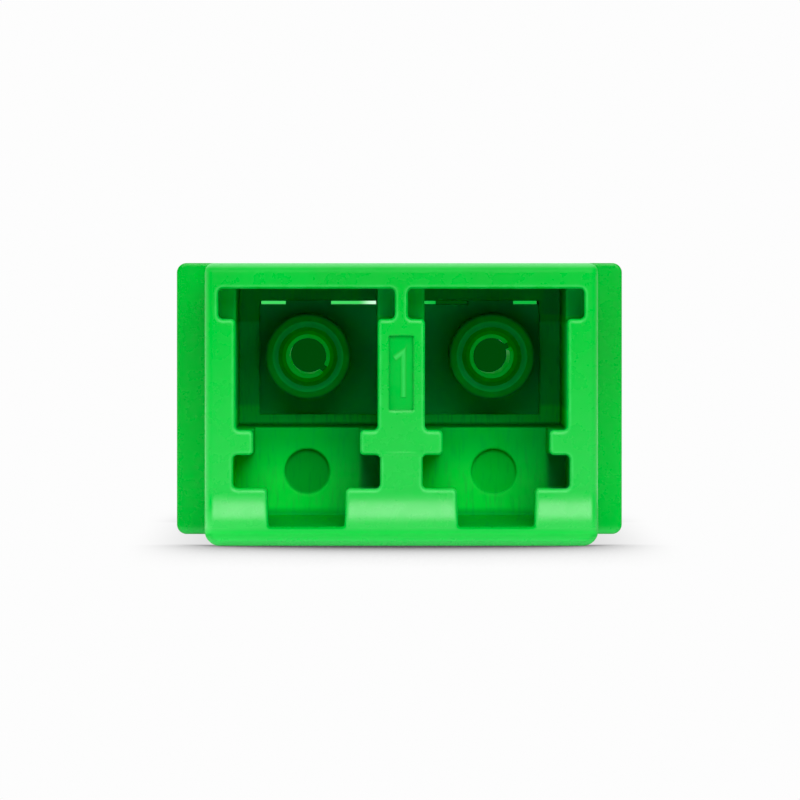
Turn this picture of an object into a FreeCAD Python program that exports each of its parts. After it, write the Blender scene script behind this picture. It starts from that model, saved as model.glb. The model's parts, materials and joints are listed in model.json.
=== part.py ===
import FreeCAD, Part
import math
import os

# Duplex fibre adapter: two welded halves, two sleeve holders, two split sleeves and a panel clip.
# X runs across the two ports, Y along the fibres with the front ports at -Y, Z up from the latch side.
# Every size is in millimetres.

# Walls across the body
plug_width = 4.70
divider = 1.55
side_wall = 1.00

# Heights of one port opening, stacked up from the latch side
bottom_wall = 0.61
lever_slot_height = 1.255
wing_slot_height = 1.11
neck_height = 0.815
plug_height = 4.67
top_wall = 0.84

# Widths of the other steps of a port opening
lever_slot_width = 2.60
lever_slot_draft = 0.05
wing_slot_width = 4.85
neck_width = 3.52
notch_step = 0.56
notch_height = 1.00

# Depths along the fibres, from the port face, and the half's own length
half_length = 13.20
catch_thickness = 2.00
latch_depth = 5.00
latch_floor_rise = 0.25
ejector_mark_diameter = 1.50
ejector_mark_depth = 0.15

# Swept lip along the latch side of the port face, and the number recess in the divider
lip_reach = 0.60
lip_height = 0.395
number_recess_width = 0.80
number_recess_height = 2.45
number_recess_depth = 0.10
number_recess_drop = 0.45

# Flange, half of it on each moulding, with a locating tongue and its slot
ear_width = 1.16
flange_thickness = 1.00
tongue_thickness = 0.90
tongue_height = 3.00
tongue_length = 0.70
tongue_clearance = 0.05

# Split sleeve
sleeve_bore = 1.25
sleeve_wall = 0.185
sleeve_length = 6.80
sleeve_slit = 0.30
left_slit_angle = -40.0
right_slit_angle = 30.0

# Sleeve holder: a plate in its pocket, with a tube round each sleeve
plate_thickness = 1.40
plate_seat = 0.51
plate_clearance = 0.05
light_gap = 0.13
lug_width = 1.55
sleeve_clearance = 0.04
tube_wall = 0.60
tip_wall = 0.80
tip_overlap = 0.06
lead_in_step = 0.25

# Mid wall with the window that the tubes stand in
mid_wall = 1.00
window_side = 0.20
window_below = 0.545
window_above = 0.435

# Spring steel panel clip in its groove behind the flange
clip_thickness = 0.30
clip_width = 5.20
clip_edge = 0.45
clip_bend = 0.35
clip_hook = 0.30
clip_foot = 0.25
clip_clearance = 0.03
panel_gap = 1.80
tab_length = 3.40
tab_height = 3.00
tab_flare = 0.72
tab_slot = 0.15

# Roundings and chamfers
top_corner = 0.30
latch_corner = 0.50
flange_corner = 0.33
outer_round = 0.25
mouth_corner = 0.15
lever_corner = 0.10
mouth_chamfer = 0.08
lip_chamfer = 0.15
tip_chamfer = 0.25

# Largest share of a side that one corner's rounding may take, and the distance that counts as touching
corner_share = 0.45
touch = 1e-4

# Heights that follow from the stack
lever_top = bottom_wall + lever_slot_height
wing_top = lever_top + wing_slot_height
plug_floor = wing_top + neck_height
plug_ceiling = plug_floor + plug_height
body_height = plug_ceiling + top_wall
axis_height = plug_floor + plug_height / 2
latch_floor = bottom_wall + latch_floor_rise
sweep_top = lever_top - mouth_corner

# Widths that follow from the ports
port_pitch = plug_width + divider
port_centres = (-port_pitch / 2, port_pitch / 2)
body_width = port_pitch + plug_width + 2 * side_wall
flange_width = body_width + 2 * ear_width
notch_width = plug_width + 2 * notch_step

# Lip and its sweep, an arc that leaves the face upright and ends on the lip's edge
lip_front = -half_length - lip_reach
sweep_radius = ((sweep_top - lip_height) ** 2 + lip_reach ** 2) / (2 * lip_reach)

# Sleeve, tube, window and pocket, one around the other
sleeve_radius = sleeve_bore / 2 + sleeve_wall
tube_bore_radius = sleeve_radius + sleeve_clearance
tube_radius = tube_bore_radius + tube_wall
tube_tip = -sleeve_length / 2 - tip_wall
tip_hole_radius = sleeve_radius - tip_overlap
lead_in_radius = tip_hole_radius + lead_in_step
window_width = port_pitch + 2 * tube_radius + 2 * window_side
window_floor = axis_height - tube_radius - window_below
window_ceiling = axis_height + tube_radius + window_above
pocket_width = window_width + 2 * plate_seat
pocket_floor = window_floor - plate_seat
pocket_ceiling = window_ceiling + plate_seat
plug_end = -plate_thickness - mid_wall
tongue_offset = (pocket_width + flange_width) / 4

# Clip, from the panel's far side back
tab_tip = flange_thickness + panel_gap
clip_start = tab_tip - tab_slot - clip_edge
clip_end = clip_start + clip_width
clip_leg_end = wing_top + clip_foot
clip_inner_width = body_width - 2 * clip_thickness
clip_inner_top = body_height - clip_thickness


def vector(x, y, z):
    return FreeCAD.Vector(x, y, z)


def rounded_wire(corners):
    """Closed wire through (point, radius) corners, each corner eased by a tangent arc."""
    count = len(corners)
    starts = []
    arcs = []
    ends = []
    for index, (corner, radius) in enumerate(corners):
        back = corners[index - 1][0] - corner
        ahead = corners[(index + 1) % count][0] - corner
        half_angle = back.getAngle(ahead) / 2
        room = corner_share * min(back.Length, ahead.Length) * math.tan(half_angle)
        eased = min(radius, room)
        back.normalize()
        ahead.normalize()
        reach = eased / math.tan(half_angle)
        inward = (back + ahead).normalize() * (eased / math.sin(half_angle) - eased)
        starts.append(corner + back * reach)
        ends.append(corner + ahead * reach)
        if eased > 0:
            arcs.append(Part.Arc(starts[-1], corner + inward, ends[-1]).toShape())
    lines = [Part.LineSegment(ends[i - 1], starts[i]).toShape() for i in range(count)]
    return Part.Wire(Part.__sortEdges__(lines + arcs))


def prism_along_y(outline, from_y, to_y):
    """Solid of an XZ outline of (x, z, radius) corners between two places along Y."""
    corners = [(vector(x, from_y, z), radius) for x, z, radius in outline]
    return Part.Face(rounded_wire(corners)).extrude(vector(0, to_y - from_y, 0))


def prism_along_x(outline, from_x, to_x):
    """Solid of a sharp YZ outline of (y, z) corners between two places along X."""
    corners = [(vector(from_x, y, z), 0) for y, z in outline]
    return Part.Face(rounded_wire(corners)).extrude(vector(to_x - from_x, 0, 0))


def prism_along_z(outline, from_z, to_z):
    """Solid of a sharp XY outline of (x, y) corners between two heights."""
    corners = [(vector(x, y, from_z), 0) for x, y in outline]
    return Part.Face(rounded_wire(corners)).extrude(vector(0, 0, to_z - from_z))


def rectangle(centre_x, width, low_z, high_z, low_radius=0.0, high_radius=0.0):
    """Corners of an upright rectangle, with its own rounding at the bottom and at the top."""
    left = centre_x - width / 2
    right = centre_x + width / 2
    return [
        (left, low_z, low_radius),
        (right, low_z, low_radius),
        (right, high_z, high_radius),
        (left, high_z, high_radius),
    ]


def stepped_outline(centre_x, steps):
    """Outline that mirrors its (half width, height, radius) steps about a port's centre."""
    right = [(centre_x + half, z, radius) for half, z, radius in steps]
    left = [(centre_x - half, z, radius) for half, z, radius in reversed(steps)]
    return right + left


def turned_solid(profile, centre_x):
    """Solid turned about a port's axis from a closed (radius, y) profile."""
    points = [vector(centre_x + radius, y, axis_height) for radius, y in profile]
    face = Part.Face(Part.makePolygon(points + points[:1]))
    return face.revolve(vector(centre_x, 0, axis_height), vector(0, 1, 0), 360)


def cylinder_along_y(x, z, diameter, from_y, to_y):
    """Round pin or hole along Y."""
    return Part.makeCylinder(diameter / 2, to_y - from_y, vector(x, from_y, z), vector(0, 1, 0))


def front_line(height):
    """Y of the front surface at a height: flat face, hollow sweep, then the lip."""
    if height >= sweep_top:
        return -half_length
    if height <= lip_height:
        return lip_front
    drop = sweep_top - height
    return -half_length - sweep_radius + math.sqrt(sweep_radius ** 2 - drop ** 2)


def rim_at(solid, rim_y):
    """Edges of a solid that lie in one plane across Y."""
    return [edge for edge in solid.Edges if all(abs(v.Point.y - rim_y) < touch for v in edge.Vertexes)]


def body_block(front_y):
    """Block with the body's rounded outline, from the mating plane to a front plane."""
    outline = rectangle(0, body_width, 0, body_height, latch_corner, top_corner)
    return prism_along_y(outline, front_y, 0)


def sweep_end_shaving(side):
    """What the rounding takes off the sweep's end at one side of the body."""
    edge_x = side * body_width / 2
    inner_x = edge_x - side * outer_round
    root = -half_length + outer_round
    slant = outer_round * math.sqrt(0.5)
    corner = vector(edge_x, -half_length, sweep_top)
    along_side = vector(edge_x, root, sweep_top)
    along_face = vector(inner_x, -half_length, sweep_top)
    on_arc = vector(inner_x + side * slant, root - slant, sweep_top)
    outline = Part.Wire([
        Part.LineSegment(corner, along_side).toShape(),
        Part.Arc(along_side, on_arc, along_face).toShape(),
        Part.LineSegment(along_face, corner).toShape(),
    ])
    centre = vector(0, -half_length - sweep_radius, sweep_top)
    sweep_angle = math.degrees(math.asin((sweep_top - lip_height) / sweep_radius))
    return Part.Face(outline).revolve(centre, vector(-1, 0, 0), sweep_angle)


def swept_lip():
    """Hollow sweep from the port face out to the lip along the latch side."""
    left = -body_width / 2
    root = -half_length + outer_round
    middle = (lip_height + sweep_top) / 2
    corners = [
        vector(left, root, 0),
        vector(left, lip_front, 0),
        vector(left, lip_front, lip_height),
        vector(left, -half_length, sweep_top),
        vector(left, root, sweep_top),
    ]
    edges = [Part.LineSegment(a, b).toShape() for a, b in zip(corners, corners[1:] + corners[:1])]
    edges[2] = Part.Arc(corners[2], vector(left, front_line(middle), middle), corners[3]).toShape()
    lip = Part.Face(Part.Wire(edges)).extrude(vector(body_width, 0, 0))
    block = body_block(lip_front)
    lip = lip.common(block.makeChamfer(lip_chamfer, rim_at(block, lip_front)))
    return lip.cut([sweep_end_shaving(-1), sweep_end_shaving(1)])


def port_mouth(centre_x):
    """Opening through the front wall: lever slot, wing slot, neck, plug cavity and top notch."""
    steps = [
        (lever_slot_width / 2 - lever_slot_draft, bottom_wall, lever_corner),
        (lever_slot_width / 2, lever_top, mouth_corner),
        (wing_slot_width / 2, lever_top, mouth_corner),
        (wing_slot_width / 2, wing_top, mouth_corner),
        (neck_width / 2, wing_top, mouth_corner),
        (neck_width / 2, plug_floor, mouth_corner),
        (plug_width / 2, plug_floor, mouth_corner),
        (plug_width / 2, plug_ceiling - notch_height, mouth_corner),
        (notch_width / 2, plug_ceiling - notch_height, mouth_corner),
        (notch_width / 2, plug_ceiling, mouth_corner),
    ]
    return prism_along_y(stepped_outline(centre_x, steps), lip_front, -half_length + catch_thickness)


def port_hollows(centre_x):
    """Hollows behind the front wall: latch pocket with a rising floor, neck, plug cavity, ejector mark."""
    catch_back = -half_length + catch_thickness
    latch_wall = -half_length + latch_depth
    pocket_side = [
        (catch_back, bottom_wall),
        (latch_wall, latch_floor),
        (latch_wall, wing_top),
        (catch_back, wing_top),
    ]
    pocket = prism_along_x(pocket_side, centre_x - wing_slot_width / 2, centre_x + wing_slot_width / 2)
    neck = prism_along_y(rectangle(centre_x, neck_width, wing_top, plug_floor), catch_back, latch_wall)
    plug = rectangle(centre_x, plug_width, plug_floor, plug_ceiling)
    cavity = prism_along_y(plug, catch_back, plug_end)
    mark_height = (latch_floor + plug_floor) / 2
    mark = cylinder_along_y(centre_x, mark_height, ejector_mark_diameter,
                            latch_wall, latch_wall + ejector_mark_depth)
    return [pocket, neck, cavity, mark]


def runs_round_a_mouth(edge):
    """True for an edge of a port opening where it meets the front surface."""
    span = edge.LastParameter - edge.FirstParameter
    points = [edge.valueAt(edge.FirstParameter + share * span) for share in (0.0, 0.25, 0.5, 0.75, 1.0)]
    reach = max(notch_width, wing_slot_width) / 2 + touch
    on_front = all(abs(point.y - front_line(point.z)) < touch for point in points)
    beside_port = all(min(abs(point.x - centre) for centre in port_centres) < reach for point in points)
    at_port = all(bottom_wall - touch < point.z < plug_ceiling + touch for point in points)
    seam = all(abs(point.z - sweep_top) < touch for point in points)
    return on_front and beside_port and at_port and not seam


def flange_half():
    """Half of the flange, flush with the body above and below."""
    outline = rectangle(0, flange_width, 0, body_height, flange_corner, flange_corner)
    return prism_along_y(outline, -flange_thickness, 0)


def locating_key(centre_x, clearance, from_y, to_y):
    """Tongue in the middle of one ear's height, or its slot where a clearance is given."""
    low = (body_height - tongue_height) / 2 - clearance
    high = (body_height + tongue_height) / 2 + clearance
    return prism_along_y(rectangle(centre_x, tongue_thickness + 2 * clearance, low, high), from_y, to_y)


def housing_half():
    """One moulding: body with two ports, mid wall with its window, holder pocket and flange half."""
    block = body_block(-half_length)
    block = block.makeFillet(outer_round, rim_at(block, -half_length))
    body = block.fuse(swept_lip()).removeSplitter()
    body = body.cut([port_mouth(centre) for centre in port_centres])
    body = body.makeChamfer(mouth_chamfer, [edge for edge in body.Edges if runs_round_a_mouth(edge)])
    hollows = []
    for centre in port_centres:
        hollows += port_hollows(centre)
    window = rectangle(0, window_width, window_floor, window_ceiling)
    hollows.append(prism_along_y(window, plug_end, -plate_thickness))
    pocket = rectangle(0, pocket_width, pocket_floor, pocket_ceiling)
    hollows.append(prism_along_y(pocket, -plate_thickness, 0))
    recess_middle = axis_height - number_recess_drop
    recess = rectangle(0, number_recess_width, recess_middle - number_recess_height / 2,
                       recess_middle + number_recess_height / 2)
    hollows.append(prism_along_y(recess, -half_length, -half_length + number_recess_depth))
    hollows.append(locating_key(tongue_offset, tongue_clearance, -tongue_length - tongue_clearance, 0))
    tongue = locating_key(-tongue_offset, 0, -flange_thickness / 2, tongue_length)
    return body.fuse(flange_half()).cut(hollows).fuse(tongue).removeSplitter()


def turned_round(shape):
    """The same piece turned end for end about the upright axis."""
    turned = shape.copy()
    turned.rotate(vector(0, 0, 0), vector(0, 0, 1), 180)
    return turned


def clip_groove():
    """Groove over the top and down both sides of the rear half, with a slot for each hook."""
    low = clip_leg_end - clip_clearance
    start = clip_start - clip_clearance
    end = clip_end + clip_clearance
    around = prism_along_y(rectangle(0, flange_width, low, body_height + clip_thickness), start, end)
    floor_bend = clip_bend + clip_clearance
    core = rectangle(0, clip_inner_width, 0, clip_inner_top, 0, floor_bend)
    groove = around.cut(prism_along_y(core, start, end))
    slot_width = clip_inner_width + 2 * clip_thickness
    slots = rectangle(0, slot_width, low, clip_leg_end + clip_thickness + clip_clearance)
    between = rectangle(0, clip_inner_width - 2 * (clip_hook + clip_clearance), 0, body_height)
    hooks = prism_along_y(slots, start, end).cut(prism_along_y(between, start, end))
    return groove.fuse(hooks)


def panel_clip():
    """Sheet folded over the body, its feet hooked inwards and a spring tab lanced out of each leg."""
    outer_bend = clip_bend + clip_thickness
    outline = rectangle(0, body_width, clip_leg_end, body_height, 0, outer_bend)
    inside = rectangle(0, clip_inner_width, 0, clip_inner_top, 0, clip_bend)
    clip = prism_along_y(outline, clip_start, clip_end).cut(prism_along_y(inside, clip_start, clip_end))
    tab_middle = (clip_leg_end + body_height) / 2
    tab_low = tab_middle - tab_height / 2
    tab_high = tab_middle + tab_height / 2
    tab_root = tab_tip + tab_length
    hook_middle = clip_inner_width / 2 - clip_hook / 2
    for side in (-1, 1):
        inner_x = side * clip_inner_width / 2
        outer_x = side * body_width / 2
        hook = rectangle(side * hook_middle, clip_hook, clip_leg_end, clip_leg_end + clip_thickness)
        opening = [(inner_x, tab_tip - tab_slot), (outer_x, tab_tip - tab_slot),
                   (outer_x, tab_root), (inner_x, tab_root)]
        tab = [(inner_x + side * tab_flare, tab_tip), (outer_x + side * tab_flare, tab_tip),
               (outer_x, tab_root), (inner_x, tab_root)]
        clip = clip.fuse(prism_along_y(hook, clip_start, clip_end))
        clip = clip.cut(prism_along_z(opening, tab_low - tab_slot, tab_high + tab_slot))
        clip = clip.fuse(prism_along_z(tab, tab_low, tab_high))
    return clip.removeSplitter()


def sleeve_holder():
    """Plate with a lug above each port and a tube with a coned mouth round each sleeve."""
    plate_low = pocket_floor + plate_clearance
    plate_high = window_ceiling - light_gap
    plate_width = pocket_width - 2 * plate_clearance
    plate = rectangle(0, plate_width, plate_low, plate_high)
    holder = prism_along_y(plate, -plate_thickness, 0)
    for centre in port_centres:
        lug = rectangle(centre, lug_width, axis_height, pocket_ceiling - plate_clearance)
        tube = [
            (0, 0),
            (tube_radius, 0),
            (tube_radius, tube_tip + tip_chamfer),
            (tube_radius - tip_chamfer, tube_tip),
            (0, tube_tip),
        ]
        holder = holder.fuse([prism_along_y(lug, -plate_thickness, 0), turned_solid(tube, centre)])
    for centre in port_centres:
        bore = [
            (0, 0),
            (tube_bore_radius, 0),
            (tube_bore_radius, -sleeve_length / 2),
            (tip_hole_radius, -sleeve_length / 2),
            (lead_in_radius, tube_tip),
            (0, tube_tip),
        ]
        holder = holder.cut(turned_solid(bore, centre))
    return holder.removeSplitter()


def split_sleeve(centre, slit_angle):
    """Ceramic tube, slit along its whole length at an angle from +X."""
    end = sleeve_length / 2
    ring = [
        (sleeve_bore / 2, -end),
        (sleeve_radius, -end),
        (sleeve_radius, end),
        (sleeve_bore / 2, end),
    ]
    slit = Part.makeBox(2 * sleeve_radius, sleeve_length, sleeve_slit, vector(0, -end, -sleeve_slit / 2))
    slit.rotate(vector(0, 0, 0), vector(0, 1, 0), -slit_angle)
    slit.translate(vector(centre, 0, axis_height))
    return turned_solid(ring, centre).cut(slit)


front_housing = housing_half()
front_holder = sleeve_holder()
nodes = {
    "front_housing": front_housing,
    "rear_housing": turned_round(front_housing).cut(clip_groove()),
    "front_sleeve_holder": front_holder,
    "rear_sleeve_holder": turned_round(front_holder),
    "left_split_sleeve": split_sleeve(port_centres[0], left_slit_angle),
    "right_split_sleeve": split_sleeve(port_centres[1], right_slit_angle),
    "panel_clip": panel_clip(),
}

os.makedirs("parts", exist_ok=True)
for name, shape in nodes.items():
    shape.exportStep("parts/" + name + ".step")
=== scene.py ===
import json
import bpy
import numpy as np
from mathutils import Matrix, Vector


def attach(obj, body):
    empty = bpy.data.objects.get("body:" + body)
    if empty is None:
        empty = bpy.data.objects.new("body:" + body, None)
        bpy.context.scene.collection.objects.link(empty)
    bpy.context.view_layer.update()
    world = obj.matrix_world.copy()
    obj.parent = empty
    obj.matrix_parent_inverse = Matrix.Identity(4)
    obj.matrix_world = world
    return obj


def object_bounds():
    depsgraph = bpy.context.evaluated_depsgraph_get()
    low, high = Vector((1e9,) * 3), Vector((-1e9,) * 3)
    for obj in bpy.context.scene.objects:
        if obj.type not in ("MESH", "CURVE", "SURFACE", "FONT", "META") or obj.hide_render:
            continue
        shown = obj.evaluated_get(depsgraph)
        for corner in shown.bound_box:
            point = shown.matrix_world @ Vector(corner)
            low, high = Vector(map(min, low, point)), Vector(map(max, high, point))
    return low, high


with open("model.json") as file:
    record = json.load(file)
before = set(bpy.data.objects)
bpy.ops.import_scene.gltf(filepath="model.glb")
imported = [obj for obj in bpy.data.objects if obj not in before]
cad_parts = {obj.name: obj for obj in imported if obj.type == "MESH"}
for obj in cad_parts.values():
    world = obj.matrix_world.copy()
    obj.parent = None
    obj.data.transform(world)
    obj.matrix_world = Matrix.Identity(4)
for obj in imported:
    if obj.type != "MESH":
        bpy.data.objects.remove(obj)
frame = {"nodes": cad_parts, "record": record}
cad_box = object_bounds()
nodes = frame["nodes"]


# The two housing halves are one moulding used twice: glossy green polyester, shot into a polished tool
# from a gate on the latch side and welded back to back at the flange. The ports keep the tool's
# spark-eroded bloom, and handling has left the face's corners matt. Light and shade are painted into
# the green: paler low down outside as light from below, lighter and darker inside the ports, and
# painted highlights on the face's corners, its top rim and the lip's foot.
MM = 0.001
MOUNTS = {mount["name"]: mount["pos_m"] for mount in frame["record"]["mounts"]}
PORT_OFFSET, PORT_FACE, PORT_AXIS_HEIGHT = MOUNTS["rear_right_port"]
BODY_TOP = cad_box[1][2]

# Resin on the outside, with painted light: paler low down, and highlights on the face's corners, top rim and
# lip foot
HOUSING_DEEP_GREEN = (0.0006, 0.316, 0.020, 1.0)
HOUSING_CLEAR_GREEN = (0.0010, 0.350, 0.025, 1.0)
HOUSING_LIGHT_BELOW_GREEN = (0.0225, 0.412, 0.056, 1.0)
HOUSING_EAR_LIGHT_BELOW_GREEN = (0.0130, 0.460, 0.047, 1.0)
HOUSING_WALL_DEEP_GREEN = (0.0080, 0.322, 0.030, 1.0)
HOUSING_WALL_CLEAR_GREEN = (0.0150, 0.364, 0.040, 1.0)
HOUSING_DENT_GREEN = (0.0030, 0.270, 0.010, 1.0)
HOUSING_PAINTED_HIGHLIGHT_GREEN = (0.090, 0.610, 0.155, 1.0)
HOUSING_TOP_RIM_HIGHLIGHT_GREEN = (0.095, 0.400, 0.125, 1.0)

# Resin inside the ports, lighter than outside, with light and shade painted in: light on the ledge and
# at the latch wall's foot, shade at its head, on the ramp, in the notches and behind one wing
HOUSING_LEDGE_LIGHT_GREEN = (0.0006, 0.750, 0.112, 1.0)
HOUSING_PORT_LIGHT_GREEN = (0.0004, 0.520, 0.086, 1.0)
HOUSING_SHADE_GREEN = (0.0002, 0.370, 0.034, 1.0)
HOUSING_FOOT_LIGHT_GREEN = (0.0410, 0.635, 0.076, 1.0)
HOUSING_WING_SHADOW_AND_DRAW_MARK_GREEN = (0.0002, 0.205, 0.030, 1.0)
HOUSING_PIN_GREEN = (0.0, 0.060, 0.006, 1.0)

HOUSING_IOR = 1.50
HOUSING_EDGE_RADIUS = 0.15 * MM
HOUSING_FLOW_SIZE = 3.5 * MM
HOUSING_GRAIN_SIZE = 0.10 * MM
HOUSING_GRAIN_DEPTH = 0.0006 * MM
GRAIN_STRENGTH = 0.5

# Sockets of a Mix node that mixes colours, which share their names with those for plain values
MIX_SHARE, MIX_FIRST, MIX_SECOND, MIX_COLOUR = 0, 6, 7, 2


def fill(tree, node, inputs):
    """Sets a node's inputs, by name or number, to a value each or links them to another node's output."""
    for socket, value in inputs.items():
        if isinstance(value, bpy.types.NodeSocket):
            tree.links.new(value, node.inputs[socket])
        else:
            node.inputs[socket].default_value = value


def add_node(tree, kind, inputs, **options):
    """One new node in a tree, with its options set and its inputs filled."""
    made = tree.nodes.new(kind)
    for option, value in options.items():
        setattr(made, option, value)
    fill(tree, made, inputs)
    return made


def math_step(tree, operation, first, second=0.0, clamp=False):
    """Output of one Math node."""
    made = add_node(tree, "ShaderNodeMath", {0: first, 1: second}, operation=operation, use_clamp=clamp)
    return made.outputs[0]


def product(tree, first, *others):
    """Values or masks multiplied together."""
    for other in others:
        first = math_step(tree, "MULTIPLY", first, other)
    return first


def ramp_step(tree, value, low, high, to_low=0.0, to_high=1.0):
    """Output of a smooth Map Range node, which runs from one end value to the other and holds there."""
    inputs = {"Value": value, "From Min": low, "From Max": high, "To Min": to_low, "To Max": to_high}
    return add_node(tree, "ShaderNodeMapRange", inputs, interpolation_type="SMOOTHSTEP").outputs["Result"]


def colour_mix(tree, share, first, second):
    """Colour that goes from the first to the second as the share goes from 0 to 1."""
    inputs = {MIX_SHARE: share, MIX_FIRST: first, MIX_SECOND: second}
    return add_node(tree, "ShaderNodeMix", inputs, data_type="RGBA").outputs[MIX_COLOUR]


def axis(tree, place, name):
    """One coordinate of a place: X across the ports, Y along the fibres or Z up."""
    return add_node(tree, "ShaderNodeSeparateXYZ", {"Vector": place}).outputs[name]


def off_middle(tree, place, name):
    """Distance along one axis from the part's middle, the same on either side of it."""
    return math_step(tree, "ABSOLUTE", axis(tree, place, name))


def stretch(tree, place, scales):
    """Coordinates for a pattern that is drawn out along each axis with a small scale."""
    return add_node(tree, "ShaderNodeMapping", {"Vector": place, "Scale": scales}).outputs[0]


def noise(tree, place, scale, settings):
    """Noise from 0 to 1, with the texture's own settings."""
    return add_node(tree, "ShaderNodeTexNoise", {"Vector": place, "Scale": scale, **settings}).outputs["Fac"]


def bump(tree, strength, depth, height, normal=None):
    """Normal of a surface with fine relief, laid over another normal where one is given."""
    inputs = {"Strength": strength, "Distance": depth, "Height": height}
    if normal is not None:
        inputs["Normal"] = normal
    return add_node(tree, "ShaderNodeBump", inputs).outputs[0]


def new_group(name, inputs, outputs):
    """Empty shader node group with named sockets, and its input and output nodes."""
    group = bpy.data.node_groups.new(name, "ShaderNodeTree")
    for socket, kind in inputs.items():
        group.interface.new_socket(socket, in_out="INPUT", socket_type=kind)
    for socket, kind in outputs.items():
        group.interface.new_socket(socket, in_out="OUTPUT", socket_type=kind)
    return group, group.nodes.new("NodeGroupInput"), group.nodes.new("NodeGroupOutput")


def place_group(tree, group, inputs):
    """One use of a node group in a material."""
    return add_node(tree, "ShaderNodeGroup", inputs, node_tree=group)


def new_material(name):
    """Material with a bare Principled shader, and its Object coordinates."""
    material = bpy.data.materials.new(name)
    material.use_nodes = True
    tree = material.node_tree
    shader = tree.nodes["Principled BSDF"]
    place = tree.nodes.new("ShaderNodeTexCoord").outputs["Object"]
    return material, tree, shader, place


EDGE_SAMPLES = 6
EDGE_GAIN = 10.0


def eased_edge_group():
    """Rounds the shading over every edge, and masks the strip where it turns away from the flat faces."""
    group, given, result = new_group(
        "eased_edge",
        {"Radius": "NodeSocketFloat"},
        {"Normal": "NodeSocketVector", "Edge": "NodeSocketFloat"},
    )
    bevel = add_node(group, "ShaderNodeBevel", {"Radius": given.outputs["Radius"]}, samples=EDGE_SAMPLES)
    eased = bevel.outputs[0]
    flat = group.nodes.new("ShaderNodeNewGeometry").outputs["Normal"]
    facing = add_node(group, "ShaderNodeVectorMath", {0: eased, 1: flat}, operation="DOT_PRODUCT")
    turned = math_step(group, "SUBTRACT", 1.0, facing.outputs["Value"], clamp=True)
    edge = math_step(group, "MULTIPLY", turned, EDGE_GAIN, clamp=True)
    fill(group, result, {"Normal": eased, "Edge": edge})
    return group


FLOW_STRETCH = (1.0, 0.45, 0.8)
FLOW_NOISE = {"Detail": 3.0, "Roughness": 0.55, "Distortion": 0.6}
FLOW_LIMITS = (0.32, 0.68)
PATCHES_PER_FLOW = 6.0
PATCH_NOISE = {"Detail": 4.0, "Roughness": 0.6}
PATCH_LIMITS = (0.40, 0.66)
GRAIN_NOISE = {"Detail": 2.0}


def moulded_skin_group():
    """Slow resin flow, patchy wear and fine tool grain, each from noise on the piece's own coordinates."""
    group, given, result = new_group(
        "moulded_skin",
        {"Place": "NodeSocketVector", "Flow Scale": "NodeSocketFloat", "Grain Scale": "NodeSocketFloat"},
        {"Flow": "NodeSocketFloat", "Patches": "NodeSocketFloat", "Grain": "NodeSocketFloat"},
    )
    place, flow_scale, grain_scale = given.outputs[:3]
    flow = noise(group, stretch(group, place, FLOW_STRETCH), flow_scale, FLOW_NOISE)
    patches = noise(group, place, product(group, flow_scale, PATCHES_PER_FLOW), PATCH_NOISE)
    fill(group, result, {
        "Flow": ramp_step(group, flow, *FLOW_LIMITS),
        "Patches": ramp_step(group, patches, *PATCH_LIMITS),
        "Grain": noise(group, place, grain_scale, GRAIN_NOISE),
    })
    return group


eased_edge = eased_edge_group()
moulded_skin = moulded_skin_group()

MASK_BLUR = 0.06 * MM
WIDE_BLUR = 2 * MASK_BLUR


def above(tree, value, level, blur=MASK_BLUR):
    """0 under a level and 1 over it, with a soft step."""
    return ramp_step(tree, value, level - blur, level + blur)


def below(tree, value, level, blur=MASK_BLUR):
    """1 under a level and 0 over it, with a soft step."""
    return ramp_step(tree, value, level - blur, level + blur, 1.0, 0.0)


def span_mask(tree, value, low, high):
    """1 between two values and 0 outside them, with soft ends."""
    return product(tree, above(tree, value, low), below(tree, value, high))


FACE_START = 12.6 * MM
FACE_FULL = PORT_FACE - WIDE_BLUR


def face_mask(tree, place):
    """0 along the body and 1 on the port faces, with a ramp just behind them."""
    return ramp_step(tree, off_middle(tree, place, "Y"), FACE_START, FACE_FULL)


PORT_HALF_SPREAD = 6.12 * MM
PORT_FLOOR = 0.48 * MM
PORT_CEILING = 8.65 * MM


def port_mask(tree, place):
    """1 on what lies inside the ports of either end, 0 on the outside of the housing."""
    heights = span_mask(tree, axis(tree, place, "Z"), PORT_FLOOR, PORT_CEILING)
    sides = span_mask(tree, axis(tree, place, "X"), -PORT_HALF_SPREAD, PORT_HALF_SPREAD)
    ends = span_mask(tree, axis(tree, place, "Y"), -FACE_FULL, FACE_FULL)
    return product(tree, heights, sides, ends)


def port_radius(tree, place, middle):
    """Distance from the nearer port's own axis, or from a line along it at another middle height."""
    beside = math_step(tree, "SUBTRACT", off_middle(tree, place, "X"), PORT_OFFSET)
    over = math_step(tree, "SUBTRACT", axis(tree, place, "Z"), middle)
    squares = math_step(tree, "ADD", product(tree, beside, beside), product(tree, over, over))
    return math_step(tree, "SQRT", squares)


# Heights and sides of the painted light and shade inside the ports
RAMP_HEIGHT = 1.05 * MM
LATCH_FOOT = 1.9 * MM
LATCH_HEAD = 3.6 * MM
PORT_LEDGE = 3.85 * MM
PORT_LEDGE_TOP = 4.45 * MM
PORT_NOTCH = 7.30 * MM
WING_START = 1.58 * MM
WING_FULL = 1.92 * MM
WING_LOW = 1.78 * MM
WING_HIGH = 3.02 * MM
NOTCH_LOW = 7.55 * MM
NOTCH_SHARE = 0.5
LATCH_SHADE_SHARE = 0.28


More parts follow.
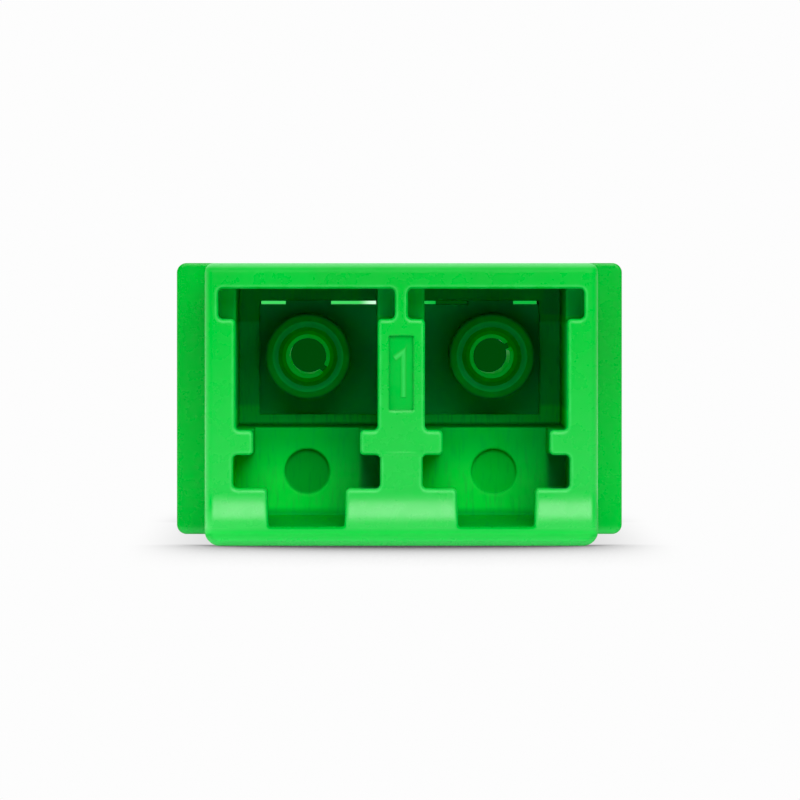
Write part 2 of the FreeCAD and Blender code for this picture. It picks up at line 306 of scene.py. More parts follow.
def wing_shadow_mask(tree, place):
    """Painted shadow towards one side of each port, the same side on either half: deep behind the wing,
    fainter in the notch above it, and rising slowly across the latch wall."""
    across = axis(tree, place, "X")
    height = axis(tree, place, "Z")
    middle = product(tree, math_step(tree, "SIGN", across), PORT_OFFSET)
    beside = math_step(tree, "SUBTRACT", across, middle)
    turned = product(tree, beside, math_step(tree, "SIGN", axis(tree, place, "Y")))
    strip = ramp_step(tree, turned, -WING_FULL, -WING_START, 1.0, 0.0)
    notch = product(tree, span_mask(tree, height, NOTCH_LOW, PORT_CEILING), NOTCH_SHARE)
    heights = math_step(tree, "ADD", span_mask(tree, height, WING_LOW, WING_HIGH), notch)
    rising = ramp_step(tree, turned, -WING_START, 0.0, LATCH_SHADE_SHARE, 0.0)
    slope = product(tree, span_mask(tree, height, RAMP_HEIGHT, PORT_LEDGE), rising)
    return math_step(tree, "MAXIMUM", product(tree, strip, heights), slope)


DRAW_MARK_SIZE = 0.10 * MM
DRAW_MARK_STRETCH = (1.0, 0.08, 0.16)
DRAW_MARK_NOISE = {"Detail": 3.0}
DRAW_MARK_LIMITS = (0.45, 0.75)
DRAW_MARK_SHARE = 0.25


def inner_green(tree, place):
    """Colour inside the ports, lighter than outside, with light and shade painted in: paler at the latch
    wall's foot and on the ledge, darker at the wall's head, on the ramp under it, in the notches and behind
    one wing, with faint draw marks."""
    height = axis(tree, place, "Z")
    low = product(tree, ramp_step(tree, height, LATCH_FOOT, LATCH_HEAD, 1.0, 0.0),
                  above(tree, height, RAMP_HEIGHT, WIDE_BLUR))
    latch = colour_mix(tree, low, HOUSING_SHADE_GREEN, HOUSING_FOOT_LIGHT_GREEN)
    over_ledge = above(tree, height, PORT_LEDGE_TOP, WIDE_BLUR)
    plug_sides = colour_mix(tree, over_ledge, HOUSING_LEDGE_LIGHT_GREEN, HOUSING_PORT_LIGHT_GREEN)
    lined = colour_mix(tree, span_mask(tree, height, PORT_LEDGE, PORT_NOTCH), latch, plug_sides)
    walls = colour_mix(tree, wing_shadow_mask(tree, place), lined, HOUSING_WING_SHADOW_AND_DRAW_MARK_GREEN)
    marks = noise(tree, stretch(tree, place, DRAW_MARK_STRETCH), 1.0 / DRAW_MARK_SIZE, DRAW_MARK_NOISE)
    drawn = ramp_step(tree, marks, *DRAW_MARK_LIMITS, 0.0, DRAW_MARK_SHARE)
    return colour_mix(tree, drawn, walls, HOUSING_WING_SHADOW_AND_DRAW_MARK_GREEN)


PIN_MARK_HEIGHT = 2.325 * MM
PIN_MARK_RADIUS = 0.75 * MM
PIN_MARK_WALL = 8.30 * MM
PIN_MARK_WEAK = 0.32
PIN_MARK_STRONG = 0.58


def pin_mask(tree, place):
    """Depth of shade on the round ejector marks: strong on one mark of each end, weak on the other."""
    along = axis(tree, place, "Y")
    disc = below(tree, port_radius(tree, place, PIN_MARK_HEIGHT), PIN_MARK_RADIUS)
    deep = span_mask(tree, along, -PIN_MARK_WALL, PIN_MARK_WALL)
    same_side = math_step(tree, "GREATER_THAN", product(tree, axis(tree, place, "X"), along), 0.0)
    depth = ramp_step(tree, same_side, 0.0, 1.0, PIN_MARK_WEAK, PIN_MARK_STRONG)
    return product(tree, disc, deep, depth)


RECESS_HALF_WIDTH = 0.42 * MM
RECESS_LOW = 4.44 * MM
RECESS_HIGH = 6.92 * MM
RECESS_RIM = 0.14 * MM
DENT_FULL = 0.09 * MM
DENT_END = 0.06 * MM


def recess_mask(tree, place, margin):
    """1 over the divider's number recess and a margin round it."""
    half = RECESS_HALF_WIDTH + margin
    sides = span_mask(tree, axis(tree, place, "X"), -half, half)
    heights = span_mask(tree, axis(tree, place, "Z"), RECESS_LOW - margin, RECESS_HIGH + margin)
    return product(tree, sides, heights)


def dent_mask(tree, place):
    """1 on the recess's floor, 0 on the crest of the numeral that stands in it."""
    reach = off_middle(tree, place, "Y")
    sunk = ramp_step(tree, reach, PORT_FACE - DENT_FULL, PORT_FACE - DENT_END, 1.0, 0.0)
    return product(tree, recess_mask(tree, place, 0.0), sunk)


# Paler green low down on the outside is painted light from below, on the port faces and the ears.
LIGHT_BELOW_LOW = 1.0 * MM
LIGHT_BELOW_HIGH = 8.2 * MM
LIGHT_BELOW_TOP_SHARE = 0.1
EAR_FACE = 1.00 * MM
LIP_HEIGHT = 0.42 * MM
LIP_LIGHT_BELOW_SHARE = 0.5
LIP_HIGHLIGHT_HEIGHT = 0.34 * MM
LIP_HIGHLIGHT_SHARE = 0.8


def outer_green(tree, place, flow):
    """Colour of the outside: resin flow on the port faces and the flange's ears, painted paler low down as
    light from below, a greyer green along the body's walls, deeper in the recess, and a painted highlight
    at the lip's foot."""
    height = axis(tree, place, "Z")
    reach = off_middle(tree, place, "Y")
    resin = colour_mix(tree, flow, HOUSING_DEEP_GREEN, HOUSING_CLEAR_GREEN)
    over_lip = ramp_step(tree, height, LIP_HEIGHT, LIP_HEIGHT + WIDE_BLUR, LIP_LIGHT_BELOW_SHARE, 1.0)
    on_face = product(tree, face_mask(tree, place), over_lip)
    by_light_below = colour_mix(tree, on_face, HOUSING_EAR_LIGHT_BELOW_GREEN, HOUSING_LIGHT_BELOW_GREEN)
    light_below_share = ramp_step(tree, height, LIGHT_BELOW_LOW, LIGHT_BELOW_HIGH, 1.0, LIGHT_BELOW_TOP_SHARE)
    pale = colour_mix(tree, light_below_share, resin, by_light_below)
    wall = colour_mix(tree, flow, HOUSING_WALL_DEEP_GREEN, HOUSING_WALL_CLEAR_GREEN)
    ears = span_mask(tree, reach, EAR_FACE - MASK_BLUR, EAR_FACE + MASK_BLUR)
    walled = math_step(tree, "SUBTRACT", below(tree, reach, FACE_START), ears, clamp=True)
    body = colour_mix(tree, walled, pale, wall)
    dented = colour_mix(tree, dent_mask(tree, place), body, HOUSING_DENT_GREEN)
    foot = ramp_step(tree, height, 0.0, LIP_HIGHLIGHT_HEIGHT, LIP_HIGHLIGHT_SHARE, 0.0)
    return colour_mix(tree, foot, dented, HOUSING_PAINTED_HIGHLIGHT_GREEN)


# Painted highlight on the port faces' corners, which are also matt with wear.
RIM_SHEEN_AND_WEAR_LOW = 0.62 * MM
RIM_SHEEN_AND_WEAR_LEAST = 0.5
RIM_SHEEN_AND_WEAR_MOST = 0.8


def rim_sheen_and_wear_mask(tree, place, edge, patches):
    """Patchy mask on the port faces' corners, over the lip and outside the number recess, which paints a
    highlight there and makes them matt with wear.
    """
    over_lip = ramp_step(tree, axis(tree, place, "Z"), RIM_SHEEN_AND_WEAR_LOW, RIM_SHEEN_AND_WEAR_LOW + WIDE_BLUR)
    face_over_lip = product(tree, face_mask(tree, place), over_lip)
    plain = math_step(tree, "SUBTRACT", face_over_lip, recess_mask(tree, place, RECESS_RIM), clamp=True)
    return product(tree, edge, ramp_step(tree, patches, 0.0, 1.0, RIM_SHEEN_AND_WEAR_LEAST, RIM_SHEEN_AND_WEAR_MOST), plain)


# Painted highlight on the top rim of the port faces, which is also matt.
TOP_RIM_MATT = BODY_TOP - 0.34 * MM
TOP_RIM_LOW = BODY_TOP - 0.19 * MM
TOP_RIM_HIGH = BODY_TOP - 0.02 * MM
GLOSS_ROUGHNESS = 0.27
GLOSS_PATCH_ROUGHNESS = 0.32
PORT_BLOOM = 0.45
PIN_MARK_BLOOM = 0.60
WORN_BLOOM = 0.40
DENT_BLOOM = 0.30


def housing_roughness(tree, place, inside, pin, rim_sheen_and_wear, patches):
    """Gloss outside, with bloom in the ports, on the ejector marks and in the recess, and rims matt with
    wear.
    """
    height = axis(tree, place, "Z")
    lip_rim = span_mask(tree, height, LIP_HEIGHT - WIDE_BLUR, LIP_HEIGHT + WIDE_BLUR)
    rims = math_step(tree, "ADD", ramp_step(tree, height, TOP_RIM_MATT, TOP_RIM_LOW), lip_rim)
    matt = math_step(tree, "MAXIMUM", rim_sheen_and_wear, product(tree, rims, face_mask(tree, place)))
    rough = ramp_step(tree, patches, 0.0, 1.0, GLOSS_ROUGHNESS, GLOSS_PATCH_ROUGHNESS)
    for mask, bloom in ((inside, PORT_BLOOM), (pin, PIN_MARK_BLOOM), (matt, WORN_BLOOM),
                        (dent_mask(tree, place), DENT_BLOOM)):
        rough = math_step(tree, "ADD", rough, product(tree, mask, bloom))
    return rough


def housing_material(name, edge_radius):
    """Green moulding: gloss outside, bloom in the ports, matt corners on the port faces, and light and shade
    painted into the green, with painted highlights on the face's corners and top rim.
    """
    material, tree, shader, place = new_material(name)
    edge = place_group(tree, eased_edge, {"Radius": edge_radius})
    skin = place_group(tree, moulded_skin, {"Place": place, "Flow Scale": 1.0 / HOUSING_FLOW_SIZE,
                                            "Grain Scale": 1.0 / HOUSING_GRAIN_SIZE})
    flow, patches, grain = skin.outputs[:3]
    inside = port_mask(tree, place)
    pin = pin_mask(tree, place)
    rim_sheen_and_wear = rim_sheen_and_wear_mask(tree, place, edge.outputs["Edge"], patches)
    shaded = colour_mix(tree, inside, outer_green(tree, place, flow), inner_green(tree, place))
    pinned = colour_mix(tree, pin, shaded, HOUSING_PIN_GREEN)
    highlighted = colour_mix(tree, rim_sheen_and_wear, pinned, HOUSING_PAINTED_HIGHLIGHT_GREEN)
    at_top = ramp_step(tree, axis(tree, place, "Z"), TOP_RIM_LOW, TOP_RIM_HIGH)
    top_rim = product(tree, face_mask(tree, place), at_top)
    fill(tree, shader, {
        "Base Color": colour_mix(tree, top_rim, highlighted, HOUSING_TOP_RIM_HIGHLIGHT_GREEN),
        "Roughness": housing_roughness(tree, place, inside, pin, rim_sheen_and_wear, patches),
        "IOR": HOUSING_IOR,
        "Normal": bump(tree, GRAIN_STRENGTH, HOUSING_GRAIN_DEPTH, grain, edge.outputs["Normal"]),
    })
    return material


def dress(name, material):
    """Gives a CAD node its finish in place of the plain packed one."""
    mesh = nodes[name].data
    mesh.materials.clear()
    mesh.materials.append(material)


green_moulding = housing_material("green_moulding", HOUSING_EDGE_RADIUS)
for housing in ("front_housing", "rear_housing"):
    dress(housing, green_moulding)


# The number of the mould cavity stands raised in the recess of each divider, and a low witness line
# crosses the divider where two tool inserts met. Both were cut into the tool, so they are the same green
# resin as the housing and one with it. A highlight is painted paler on the numeral's crest.
NUMERAL_CREST_HIGHLIGHT_GREEN = (0.024, 0.400, 0.060, 1.0)
NUMERAL_STROKE = 0.27 * MM
NUMERAL_RISE = 0.034 * MM
NUMERAL_STEM_X = 0.07 * MM
NUMERAL_TOP = 0.69 * MM
NUMERAL_FOOT = -0.79 * MM
NUMERAL_FLAG = (-0.22 * MM, 0.48 * MM)
NUMERAL_MIDDLE = 5.675 * MM
NUMERAL_ROOT = PORT_FACE - 0.10 * MM
WITNESS_HEIGHT = 3.02 * MM
WITNESS_HALF_LENGTH = 0.72 * MM
WITNESS_WIDTH = 0.20 * MM
WITNESS_RISE = 0.008 * MM
WITNESS_STATIONS = 13
RIDGE_POINTS = 13
RIDGE_SINK = 0.02 * MM


def raised_material():
    """The housing's own green, with a highlight painted on the numeral's crest, paler than the recess."""
    material = housing_material("green_moulding_raised", 0.0)
    tree = material.node_tree
    shader = tree.nodes["Principled BSDF"]
    place = tree.nodes.new("ShaderNodeTexCoord").outputs["Object"]
    proud = ramp_step(tree, off_middle(tree, place, "Y"), NUMERAL_ROOT, NUMERAL_ROOT + NUMERAL_RISE)
    crest = product(tree, proud, recess_mask(tree, place, 0.0))
    housing_green = shader.inputs["Base Color"].links[0].from_socket
    fill(tree, shader, {"Base Color": colour_mix(tree, crest, housing_green, NUMERAL_CREST_HIGHLIGHT_GREEN)})
    return material


raised_green = raised_material()


def moulded_ridge(name, path, width, rises, root_y, facing):
    """Soft ridge: a bell profile, whose height is the square of a sine that runs through half a turn from
    one side to the other, carried along a path in the port face's plane with mitred corners. It closes
    under the face and at both ends."""
    steps = np.diff(path, axis=0)
    steps /= np.linalg.norm(steps, axis=1)[:, None]
    sides = np.column_stack([-steps[:, 1], steps[:, 0]])
    mitres = np.vstack([sides[:1], sides[:-1] + sides[1:], sides[-1:]])
    mitres /= np.sum(mitres * np.vstack([sides[:1], sides]), axis=1)[:, None]
    turn = np.linspace(0.0, np.pi, RIDGE_POINTS)
    across = np.concatenate([np.linspace(1.0, -1.0, RIDGE_POINTS), [-1.0, 1.0]]) * width / 2
    crown = np.concatenate([np.sin(turn) ** 2, [0.0, 0.0]])
    sunk = np.concatenate([np.zeros(RIDGE_POINTS), [RIDGE_SINK, RIDGE_SINK]])
    proud = rises[:, None] * crown[None, :] - sunk[None, :]
    flat = path[:, None, :] + mitres[:, None, :] * across[None, :, None]
    depth = root_y + facing * proud
    points = np.stack([flat[..., 0], depth, flat[..., 1]], axis=-1).reshape(-1, 3)
    stations, ring = flat.shape[:2]
    base = (np.arange(stations - 1)[:, None] * ring + np.arange(ring)[None, :]).ravel()
    ahead = (np.arange(stations - 1)[:, None] * ring + (np.arange(ring)[None, :] + 1) % ring).ravel()
    quads = np.column_stack([base, ahead, ahead + ring, base + ring])
    caps = np.vstack([np.arange(ring)[::-1], np.arange(ring) + (stations - 1) * ring])
    faces = [sheet[:, ::-facing].tolist() for sheet in (quads, caps)]
    mesh = bpy.data.meshes.new(name)
    mesh.from_pydata(points, [], faces[0] + faces[1])
    mesh.materials.append(raised_green)
    piece = bpy.data.objects.new(name, mesh)
    bpy.context.scene.collection.objects.link(piece)
    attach(piece, "root")


numeral_path = np.array([NUMERAL_FLAG, (NUMERAL_STEM_X, NUMERAL_TOP), (NUMERAL_STEM_X, NUMERAL_FOOT)])
numeral_path += (0.0, NUMERAL_MIDDLE)
numeral_rises = np.full(len(numeral_path), NUMERAL_RISE)
witness_steps = np.linspace(-1.0, 1.0, WITNESS_STATIONS)
witness_heights = np.full(WITNESS_STATIONS, WITNESS_HEIGHT)
witness_path = np.column_stack([witness_steps * WITNESS_HALF_LENGTH, witness_heights])
witness_rises = WITNESS_RISE * np.sqrt(1.0 - witness_steps ** 2)
for end, facing in (("front", -1), ("rear", 1)):
    turned = np.array([-facing, 1.0])
    moulded_ridge(end + "_cavity_number", numeral_path * turned, NUMERAL_STROKE, numeral_rises,
                  facing * NUMERAL_ROOT, facing)
    moulded_ridge(end + "_witness_line", witness_path * turned, WITNESS_WIDTH, witness_rises,
                  facing * PORT_FACE, facing)


# Each sleeve holder is a separate moulding in a darker green, a plate with two tubes, trapped in the
# pocket between the halves. It is never handled, so it has clean edges and only the tool's own texture.
HOLDER_DEEP_GREEN = (0.0005, 0.530, 0.094, 1.0)
HOLDER_CLEAR_GREEN = (0.0008, 0.610, 0.108, 1.0)
# Painted shade on each tube's tip, inside its mouth and round its rim, with plain resin in a ring between
HOLDER_MOUTH_SHADE_GREEN = (0.0004, 0.425, 0.070, 1.0)
HOLDER_RIM_SHADE_GREEN = (0.0003, 0.240, 0.045, 1.0)
HOLDER_MOUTH_START = 1.05 * MM
HOLDER_MOUTH_END = 1.24 * MM
HOLDER_RIM_START = 1.33 * MM
HOLDER_RIM_END = 1.46 * MM
HOLDER_TIP_START = 3.80 * MM
HOLDER_EDGE_RADIUS = 0.05 * MM
HOLDER_FLOW_SIZE = 1.8 * MM
HOLDER_GRAIN_SIZE = 0.07 * MM
HOLDER_GRAIN_DEPTH = 0.001 * MM
HOLDER_ROUGHNESS = (0.50, 0.60)
HOLDER_SPECULAR = 0.3


def holder_material():
    """Darker green moulding: resin flow, even satin gloss, tool grain, and painted shade in the mouth and
    round the rim of each tube's tip."""
    material, tree, shader, place = new_material("dark_green_moulding")
    edge = place_group(tree, eased_edge, {"Radius": HOLDER_EDGE_RADIUS})
    skin = place_group(tree, moulded_skin, {"Place": place, "Flow Scale": 1.0 / HOLDER_FLOW_SIZE,
                                            "Grain Scale": 1.0 / HOLDER_GRAIN_SIZE})
    flow, patches, grain = skin.outputs[:3]
    resin = colour_mix(tree, flow, HOLDER_DEEP_GREEN, HOLDER_CLEAR_GREEN)
    tip = math_step(tree, "GREATER_THAN", off_middle(tree, place, "Y"), HOLDER_TIP_START)
    radius = port_radius(tree, place, PORT_AXIS_HEIGHT)
    mouth = ramp_step(tree, radius, HOLDER_MOUTH_START, HOLDER_MOUTH_END, 1.0, 0.0)
    rim = ramp_step(tree, radius, HOLDER_RIM_START, HOLDER_RIM_END)
    coned = colour_mix(tree, product(tree, tip, mouth), resin, HOLDER_MOUTH_SHADE_GREEN)
    fill(tree, shader, {
        "Base Color": colour_mix(tree, product(tree, tip, rim), coned, HOLDER_RIM_SHADE_GREEN),
        "Roughness": ramp_step(tree, patches, 0.0, 1.0, *HOLDER_ROUGHNESS),
        "Specular IOR Level": HOLDER_SPECULAR,
        "Normal": bump(tree, GRAIN_STRENGTH, HOLDER_GRAIN_DEPTH, grain, edge.outputs["Normal"]),
    })
    return material


dark_green_moulding = holder_material()
for holder in ("front_sleeve_holder", "rear_sleeve_holder"):
    dress(holder, dark_green_moulding)


# The split sleeves are zirconia ceramic tubes, sintered, ground and lapped inside, then slit along their
# length so that they grip the ferrules. They lie loose in the holders' tubes. The green of the light that
# comes through the mouldings is painted into their colour, and a faint glow is painted on them.
CERAMIC_DEEP_PAINTED_GREEN = (0.030, 0.600, 0.080, 1.0)
CERAMIC_PALE_PAINTED_GREEN = (0.050, 0.680, 0.110, 1.0)
CERAMIC_PAINTED_GLOW = 0.115
CERAMIC_SPECULAR = 0.15
CERAMIC_CLOUD_SIZE = 0.6 * MM
CERAMIC_CLOUD_NOISE = {"Detail": 3.0}
CERAMIC_LAP_SIZE = 0.03 * MM
CERAMIC_LAP_STRETCH = (0.08, 1.0, 0.08)
CERAMIC_LAP_NOISE = {"Detail": 2.0}
CERAMIC_LAP_LIMITS = (0.3, 0.7)
CERAMIC_LAP_STRENGTH = 0.4
CERAMIC_LAP_DEPTH = 0.0006 * MM
CERAMIC_ROUGHNESS = (0.50, 0.60)


def ceramic_material():
    """Zirconia, its colour painted green as the light round it, with a faint painted glow, faint clouding in
    the body and fine lapping rings round the axis.
    """
    material, tree, shader, place = new_material("zirconia")
    cloud = noise(tree, place, 1.0 / CERAMIC_CLOUD_SIZE, CERAMIC_CLOUD_NOISE)
    lap = noise(tree, stretch(tree, place, CERAMIC_LAP_STRETCH), 1.0 / CERAMIC_LAP_SIZE, CERAMIC_LAP_NOISE)
    colour = colour_mix(tree, cloud, CERAMIC_DEEP_PAINTED_GREEN, CERAMIC_PALE_PAINTED_GREEN)
    fill(tree, shader, {
        "Base Color": colour,
        "Emission Color": colour,
        "Emission Strength": CERAMIC_PAINTED_GLOW,
        "Roughness": ramp_step(tree, lap, *CERAMIC_LAP_LIMITS, *CERAMIC_ROUGHNESS),
        "Specular IOR Level": CERAMIC_SPECULAR,
        "Normal": bump(tree, CERAMIC_LAP_STRENGTH, CERAMIC_LAP_DEPTH, lap),
    })
    return material


zirconia = ceramic_material()
for sleeve in ("left_split_sleeve", "right_split_sleeve"):
    dress(sleeve, zirconia)


# The panel clip is spring steel strip, blanked, lanced and folded over the rear half into its groove.
# Rolling left fine lines along the strip, and the bends and cut edges are brighter.
STEEL_DULL = (0.27, 0.27, 0.265, 1.0)
STEEL_BRIGHT = (0.34, 0.337, 0.33, 1.0)
STEEL_EDGE_RADIUS = 0.05 * MM
STEEL_LINE_SIZE = 0.05 * MM
STEEL_LINE_STRETCH = (0.03, 1.0, 0.03)
STEEL_LINE_NOISE = {"Detail": 4.0}
STEEL_LINE_LIMITS = (0.3, 0.7)
STEEL_LINE_STRENGTH = 0.5
STEEL_LINE_DEPTH = 0.0008 * MM
STEEL_ROUGHNESS = (0.22, 0.36)
STEEL_TARNISH_SIZE = 1.6 * MM
STEEL_TARNISH_STRETCH = (0.25, 1.0, 0.25)
STEEL_TARNISH_NOISE = {"Detail": 5.0}
STEEL_TARNISH_LIMITS = (0.25, 0.75)


def steel_material():
    """Rolled spring steel: lines along the strip, a little tarnish, edges bright with wear."""
    material, tree, shader, place = new_material("spring_steel")
    edge = place_group(tree, eased_edge, {"Radius": STEEL_EDGE_RADIUS})
    lines = noise(tree, stretch(tree, place, STEEL_LINE_STRETCH), 1.0 / STEEL_LINE_SIZE, STEEL_LINE_NOISE)
    rolled_out = stretch(tree, place, STEEL_TARNISH_STRETCH)
    tarnish = noise(tree, rolled_out, 1.0 / STEEL_TARNISH_SIZE, STEEL_TARNISH_NOISE)
    clean = ramp_step(tree, tarnish, *STEEL_TARNISH_LIMITS)
    bright = math_step(tree, "MAXIMUM", edge.outputs["Edge"], clean)
    fill(tree, shader, {
        "Base Color": colour_mix(tree, bright, STEEL_DULL, STEEL_BRIGHT),
        "Metallic": 1.0,
        "Roughness": ramp_step(tree, lines, *STEEL_LINE_LIMITS, *STEEL_ROUGHNESS),
        "Normal": bump(tree, STEEL_LINE_STRENGTH, STEEL_LINE_DEPTH, lines, edge.outputs["Normal"]),
    })
    return material


dress("panel_clip", steel_material())


# The stage is a plain pale table, which has one soft shadow from the adapter painted into it, in a white
# room that is dim on the lens's own side, with one broad softbox above the lens and to its right. Far
# behind, where only the bores and the slits look, lies a narrow green card with painted shade and light.
STAGE_ROUGHNESS = 0.9
FLOOR_HALF = 4.0
FLOOR_WHITE = (0.80, 0.80, 0.80, 1.0)
FLOOR_SEEN = 0.982
FLOOR_SHADE = 0.93
FLOOR_SHADE_REACH = 22.0 * MM
FLOOR_SHADE_SAMPLES = 16
FLOOR_OPEN = 0.985
FLOOR_CLOSED = 0.62
FLOOR_SIDE_SHARE = 0.28
FLOOR_SIDE_END = 11.5 * MM
FLOOR_FRONT_START = 14.2 * MM
FLOOR_FADE_START = 5.8 * MM
FLOOR_FADE_END = 9.2 * MM


def stage_sheet(name, corners, material):
    """Flat four-sided sheet of the stage."""
    mesh = bpy.data.meshes.new(name)
    mesh.from_pydata(corners, [], [(0, 1, 2, 3)])
    mesh.materials.append(material)
    sheet = bpy.data.objects.new(name, mesh)
    bpy.context.scene.collection.objects.link(sheet)


def camera_mix(tree, lighting, shown):
    """Shader that lights the scene as the first one and shows the camera the second."""
    seen = tree.nodes.new("ShaderNodeLightPath").outputs["Is Camera Ray"]
    return add_node(tree, "ShaderNodeMixShader", {0: seen, 1: lighting, 2: shown}).outputs[0]


def stage_floor():
    """Pale matt floor. The camera sees it as an even glow, with one soft shadow painted in from occlusion
    where the adapter closes it in, deeper before the port faces than along the sides."""
    material, tree, shader, place = new_material("stage_white")
    fill(tree, shader, {"Base Color": FLOOR_WHITE, "Roughness": STAGE_ROUGHNESS, "Specular IOR Level": 0.0})
    reach = off_middle(tree, place, "Y")
    ends = ramp_step(tree, reach, FLOOR_SIDE_END, FLOOR_FRONT_START, FLOOR_SIDE_SHARE, 1.0)
    near = ramp_step(tree, off_middle(tree, place, "X"), FLOOR_FADE_START, FLOOR_FADE_END, 1.0, 0.0)
    sky = add_node(tree, "ShaderNodeAmbientOcclusion", {"Distance": FLOOR_SHADE_REACH},
                   samples=FLOOR_SHADE_SAMPLES).outputs["AO"]
    closed_in = math_step(tree, "SUBTRACT", FLOOR_OPEN, sky)
    covered = math_step(tree, "DIVIDE", closed_in, FLOOR_OPEN - FLOOR_CLOSED, clamp=True)
    shade = product(tree, covered, FLOOR_SHADE, ends, near)
    level = product(tree, math_step(tree, "SUBTRACT", 1.0, shade), FLOOR_SEEN)
    even = add_node(tree, "ShaderNodeEmission", {"Strength": level})
    both = camera_mix(tree, shader.outputs[0], even.outputs[0])
    fill(tree, tree.nodes["Material Output"], {"Surface": both})
    corners = np.array([(-1, -1, 0), (1, -1, 0), (1, 1, 0), (-1, 1, 0)], float) * FLOOR_HALF
    stage_sheet("stage_floor", corners, material)


LENS_DISTANCE = 0.290
LENS_PLACE = Vector((-1.6 * MM, -PORT_FACE - LENS_DISTANCE, BODY_TOP))
CARD_HALF_VIEW = 5.2 * MM
CARD_NEAR = 0.40
CARD_FAR = 2.40
CARD_HEIGHT = 0.05 * MM
CARD_TURN = 1.10
CARD_HOT_START = 0.0006
CARD_HOT_FULL = 0.0024
CARD_HOT_END = 0.0047
CARD_GAP_START = 0.0094
CARD_GAP_END = 0.0133
CARD_SHADE_GREEN = (0.0004, 0.042, 0.005, 1.0)
CARD_LIT_GREEN = (0.080, 0.500, 0.125, 1.0)
CARD_FAINT_GREEN = (0.032, 0.340, 0.062, 1.0)
CARD_HOT_GREEN = (0.480, 0.780, 0.540, 1.0)


def stage_card():
    """Matt card that lies flat behind the adapter, between two lines that spread from the lens's place. It
    is deep green as painted shade at its near end, where the bores look, and in one gap. Elsewhere it is
    light green as painted light where the slits look, with one pale stretch and a fainter side. A bearing
    is the way across for each step along the fibres, counted from the lens."""
    material, tree, shader, place = new_material("stage_green")
    along = axis(tree, place, "Y")
    beside = math_step(tree, "SUBTRACT", axis(tree, place, "X"), LENS_PLACE.x)
    bearing = math_step(tree, "DIVIDE", beside, math_step(tree, "SUBTRACT", along, LENS_PLACE.y))
    gap = product(tree, math_step(tree, "GREATER_THAN", bearing, CARD_GAP_START),
                  math_step(tree, "LESS_THAN", bearing, CARD_GAP_END))
    lit = product(tree, math_step(tree, "GREATER_THAN", along, CARD_TURN),
                  math_step(tree, "SUBTRACT", 1.0, gap))
    hot = product(tree, ramp_step(tree, bearing, CARD_HOT_START, CARD_HOT_FULL),
                  math_step(tree, "LESS_THAN", bearing, CARD_HOT_END))
    fading = ramp_step(tree, bearing, CARD_HOT_END, CARD_GAP_START)
    green = colour_mix(tree, fading, CARD_LIT_GREEN, CARD_FAINT_GREEN)
    bright = colour_mix(tree, hot, green, CARD_HOT_GREEN)
    colour = colour_mix(tree, lit, CARD_SHADE_GREEN, bright)
    fill(tree, shader, {"Base Color": colour, "Roughness": STAGE_ROUGHNESS, "Specular IOR Level": 0.0})
    corners = []
    for side, distance in ((-1, CARD_NEAR), (1, CARD_NEAR), (1, CARD_FAR), (-1, CARD_FAR)):
        reach = (distance - LENS_PLACE.y) / -LENS_PLACE.y
        across = LENS_PLACE.x + (side * CARD_HALF_VIEW - LENS_PLACE.x) * reach
        corners.append((across, distance, CARD_HEIGHT))
    stage_sheet("stage_card", corners, material)


ROOM_WHITE = (1.0, 1.0, 1.0, 1.0)
ROOM_FRONT = 0.42
ROOM_SIDE = 1.20
ROOM_BEHIND = 0.80
ROOM_LOW_BEHIND = 0.96
ROOM_TOP_SHARE = 1.50
ROOM_LEFT_SHARE = 1.42
ROOM_RIGHT_SHARE = 0.58
FRONT_TO_SIDE = (-0.85, 0.05)
SIDE_TO_BEHIND = (0.05, 0.7)
WELL_BEHIND = (0.3, 0.7)
OVER_HORIZON = (0.10, 0.32)
UP_TO_TOP = (0.5, 1.0)
LEFT_TO_RIGHT = (-0.8, 0.8)
DIM_CENTRE = Vector((-0.34, -0.93, 0.12)).normalized()
DIM_INNER = 0.97
DIM_OUTER = 0.86
DIM_SHARE = 0.02


def studio_room():
    """White room: dim round the lens, bright at the sides and brighter behind but for the horizon there,
    and plain white where the camera sees it."""
    world = bpy.data.worlds.new("studio")
    world.use_nodes = True
    tree = world.node_tree
    tree.nodes.clear()
    direction = tree.nodes.new("ShaderNodeTexCoord").outputs["Generated"]
    across, along, height = add_node(tree, "ShaderNodeSeparateXYZ", {"Vector": direction}).outputs
    facing = add_node(tree, "ShaderNodeVectorMath", {0: direction, 1: DIM_CENTRE}, operation="DOT_PRODUCT")
    dim = ramp_step(tree, facing.outputs["Value"], DIM_OUTER, DIM_INNER, 1.0, DIM_SHARE)
    sides = ramp_step(tree, along, *FRONT_TO_SIDE, ROOM_FRONT, ROOM_SIDE)
    room = math_step(tree, "ADD", sides, ramp_step(tree, along, *SIDE_TO_BEHIND, 0.0, ROOM_BEHIND))
    low = ramp_step(tree, height, *OVER_HORIZON, ROOM_LOW_BEHIND, 0.0)
    low_behind = product(tree, low, ramp_step(tree, along, *WELL_BEHIND))
    strength = product(
        tree,
        math_step(tree, "SUBTRACT", 1.0, low_behind),
        dim,
        room,
        ramp_step(tree, height, *UP_TO_TOP, 1.0, ROOM_TOP_SHARE),
        ramp_step(tree, across, *LEFT_TO_RIGHT, ROOM_LEFT_SHARE, ROOM_RIGHT_SHARE),
    )
    lighting = add_node(tree, "ShaderNodeBackground", {"Color": ROOM_WHITE, "Strength": strength})
    backdrop = add_node(tree, "ShaderNodeBackground", {"Color": ROOM_WHITE, "Strength": FLOOR_SEEN})
    both = camera_mix(tree, lighting.outputs[0], backdrop.outputs[0])
    add_node(tree, "ShaderNodeOutputWorld", {"Surface": both})
    bpy.context.scene.world = world


def aimed(thing, place, target):
    """Stands a lamp or camera at a place and turns it to look at a target."""
    thing.location = place
    thing.rotation_euler = (target - place).to_track_quat("-Z", "Y").to_euler()
    bpy.context.scene.collection.objects.link(thing)
    return thing


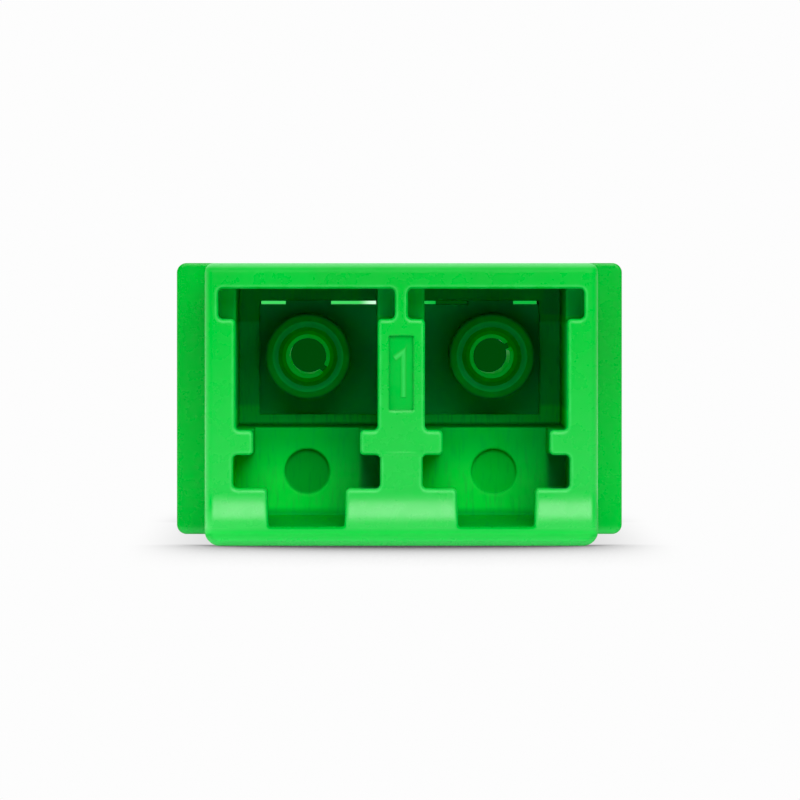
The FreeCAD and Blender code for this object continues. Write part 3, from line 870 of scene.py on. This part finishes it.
SOFTBOX_AZIMUTH = np.radians(9.0)
SOFTBOX_ELEVATION = np.radians(34.0)
SOFTBOX_DISTANCE = 0.60
SOFTBOX_SIDE = 0.44
SOFTBOX_POWER = 3.45
SOFTBOX_AIM = Vector((0.0, -PORT_FACE, 4.0 * MM))


def softbox():
    """Broad square lamp above the lens and to its right, which draws the light band on the swept lip."""
    lamp = bpy.data.lights.new("softbox", "AREA")
    lamp.shape = "SQUARE"
    lamp.size = SOFTBOX_SIDE
    lamp.energy = SOFTBOX_POWER
    level = SOFTBOX_DISTANCE * np.cos(SOFTBOX_ELEVATION)
    way = Vector((level * np.sin(SOFTBOX_AZIMUTH), -level * np.cos(SOFTBOX_AZIMUTH),
                  SOFTBOX_DISTANCE * np.sin(SOFTBOX_ELEVATION)))
    box = aimed(bpy.data.objects.new("softbox", lamp), SOFTBOX_AIM + way, SOFTBOX_AIM)
    box.visible_camera = False


VIEW_CENTRE = Vector((-0.045 * MM, -PORT_FACE, 4.79 * MM))
VIEW_WIDTH = 26.35 * MM
SENSOR_WIDTH = 36.0
CLIP_START = 0.01
CLIP_END = 10.0


def photo_camera():
    """Long lens in front of the ports, a little left of the middle and level with the top of the body."""
    lens = bpy.data.cameras.new("photo_camera")
    lens.sensor_width = SENSOR_WIDTH
    lens.lens = SENSOR_WIDTH * LENS_DISTANCE / VIEW_WIDTH
    lens.clip_start = CLIP_START
    lens.clip_end = CLIP_END
    bpy.context.scene.camera = aimed(bpy.data.objects.new("photo_camera", lens), LENS_PLACE, VIEW_CENTRE)


PICTURE_SATURATION = 1.09


def picture_finish():
    """Plain view transform, and a touch more saturation, as the camera gives such a deep green."""
    picture = bpy.context.scene
    picture.view_settings.view_transform = "Standard"
    picture.use_nodes = True
    tree = picture.node_tree
    tree.nodes.clear()
    rendered = tree.nodes.new("CompositorNodeRLayers").outputs["Image"]
    richer = add_node(tree, "CompositorNodeHueSat", {"Image": rendered, "Saturation": PICTURE_SATURATION})
    add_node(tree, "CompositorNodeComposite", {"Image": richer.outputs["Image"]})


stage_floor()
stage_card()
studio_room()
softbox()
photo_camera()
picture_finish()
